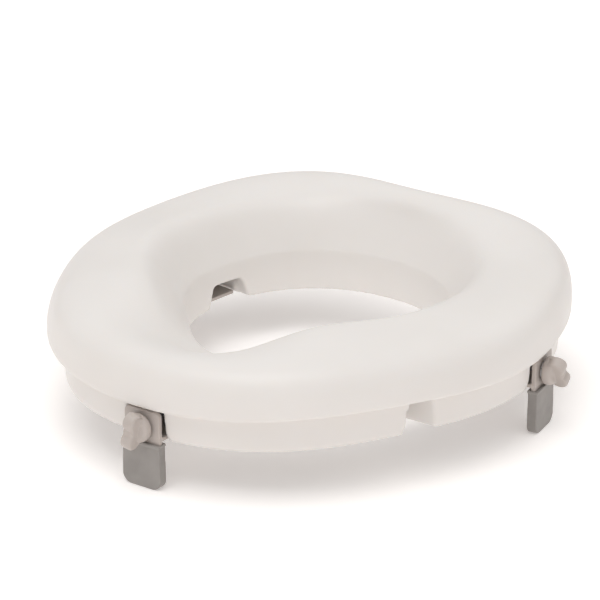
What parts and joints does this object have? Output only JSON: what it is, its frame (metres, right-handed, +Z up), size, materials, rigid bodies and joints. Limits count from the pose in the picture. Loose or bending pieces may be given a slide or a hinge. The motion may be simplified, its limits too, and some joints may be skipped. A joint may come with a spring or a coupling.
{
  "type": "raised toilet seat",
  "caption": "Raised toilet seat: hollow moulded plastic ring, scooped at the front, held on the bowl by screw clamps with rubber boots and winged knobs.",
  "frame": {"origin": "middle of the bounding box in plan, at the lowest point of the rubber boots", "axes": "+Z up; front of the seat towards -Y; the user's left on +X"},
  "size_m": [0.4186, 0.4096, 0.1205],
  "materials": {
    "seat_plastic": "satin off-white moulded polyethylene",
    "clamp_plastic": "satin pale beige moulded plastic",
    "boot_rubber": "matt warm grey rubber",
    "zinc_steel": "zinc plated"
  },
  "bodies": {
    "seat": {"seat_body": "seat_plastic", "front_nut": "zinc_steel", "left_nut": "zinc_steel", "right_nut": "zinc_steel"},
    "front_arm": {"front_clamp_arm": "clamp_plastic", "front_boot": "boot_rubber", "front_washer": "zinc_steel"},
    "front_screw": {"front_knob": "clamp_plastic", "front_stud": "zinc_steel", "front_clip": "zinc_steel"},
    "left_arm": {"left_clamp_arm": "clamp_plastic", "left_boot": "boot_rubber", "left_washer": "zinc_steel"},
    "left_screw": {"left_knob": "clamp_plastic", "left_stud": "zinc_steel", "left_clip": "zinc_steel"},
    "right_arm": {"right_clamp_arm": "clamp_plastic", "right_boot": "boot_rubber", "right_washer": "zinc_steel"},
    "right_screw": {"right_knob": "clamp_plastic", "right_stud": "zinc_steel", "right_clip": "zinc_steel"}
  },
  "joints": [
    {"name": "front_clamp_slide", "type": "slide", "parent": "seat", "child": "front_arm", "axis": [0, -1, 0], "range_m": [-0.005, 0.014]},
    {"name": "front_knob_turn", "type": "hinge", "parent": "front_arm", "child": "front_screw", "pos_m": [-0.00013, -0.18214, 0.049], "axis": [0, -1, 0], "range_deg": [-901, 2521]},
    {"name": "left_clamp_slide", "type": "slide", "parent": "seat", "child": "left_arm", "axis": [0.9899, 0.1418, 0], "range_m": [-0.005, 0.014]},
    {"name": "left_knob_turn", "type": "hinge", "parent": "left_arm", "child": "left_screw", "pos_m": [0.1857, 0.07056, 0.049], "axis": [0.9899, 0.1418, 0], "range_deg": [-901, 2521]},
    {"name": "right_clamp_slide", "type": "slide", "parent": "seat", "child": "right_arm", "axis": [-0.9899, 0.1418, 0], "range_m": [-0.005, 0.014]},
    {"name": "right_knob_turn", "type": "hinge", "parent": "right_arm", "child": "right_screw", "pos_m": [-0.18596, 0.07056, 0.049], "axis": [-0.9899, 0.1418, 0], "range_deg": [-901, 2521]}
  ],
  "couplings": [
    {"joint": "front_knob_turn", "follows": "front_clamp_slide", "rad_per_m": 3141.6},
    {"joint": "left_knob_turn", "follows": "left_clamp_slide", "rad_per_m": 3141.6},
    {"joint": "right_knob_turn", "follows": "right_clamp_slide", "rad_per_m": 3141.6}
  ]
}
